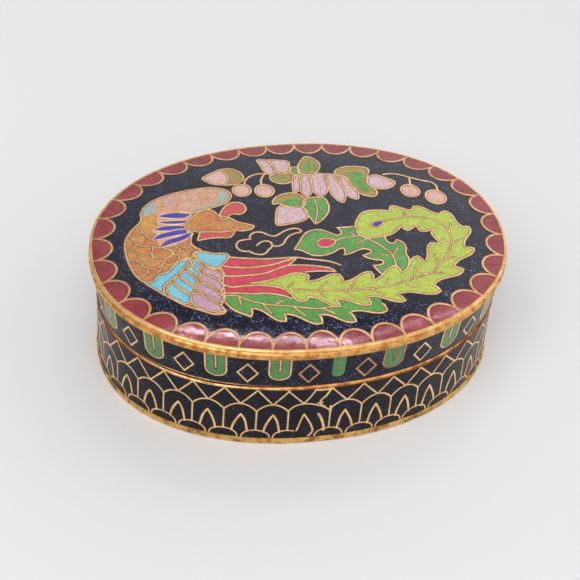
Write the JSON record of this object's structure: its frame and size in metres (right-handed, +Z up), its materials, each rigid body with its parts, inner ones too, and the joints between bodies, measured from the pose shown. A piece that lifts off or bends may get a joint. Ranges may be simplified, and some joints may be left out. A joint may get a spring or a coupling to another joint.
{
  "type": "oval cloisonne enamel trinket box",
  "caption": "Small oval trinket box of enamelled copper with brass rims and a domed lift-off lid; cloisonne phoenix and peony on a dark ground.",
  "frame": {"origin": "centre of the oval footprint, on the surface that the foot rim stands on", "axes": "+X along the oval's long axis, +Y towards the back, where the flower spray is, +Z up"},
  "size_m": [0.065, 0.048, 0.0223],
  "materials": {
    "enamel_base": "glossy navy-black vitreous enamel on copper, finely speckled and pitted",
    "enamel_lid": "glossy vitreous enamel on copper in many colours between gilt wires",
    "brass_rims": "gilded brass, rubbed and pitted, dull brown in the hollows",
    "gilt_wires": "fine flat gilt wires, polished flush with the enamel",
    "counter_enamel": "glossy turquoise counter-enamel inside and below"
  },
  "bodies": {
    "root": {"base_body": "enamel_base", "base_foot_rim": "brass_rims", "base_mouth_rim": "brass_rims", "lid_body": "enamel_lid", "lid_lower_rim": "brass_rims", "lid_edge_band": "brass_rims", "lid_top_wire": "brass_rims"}
  },
  "joints": []
}
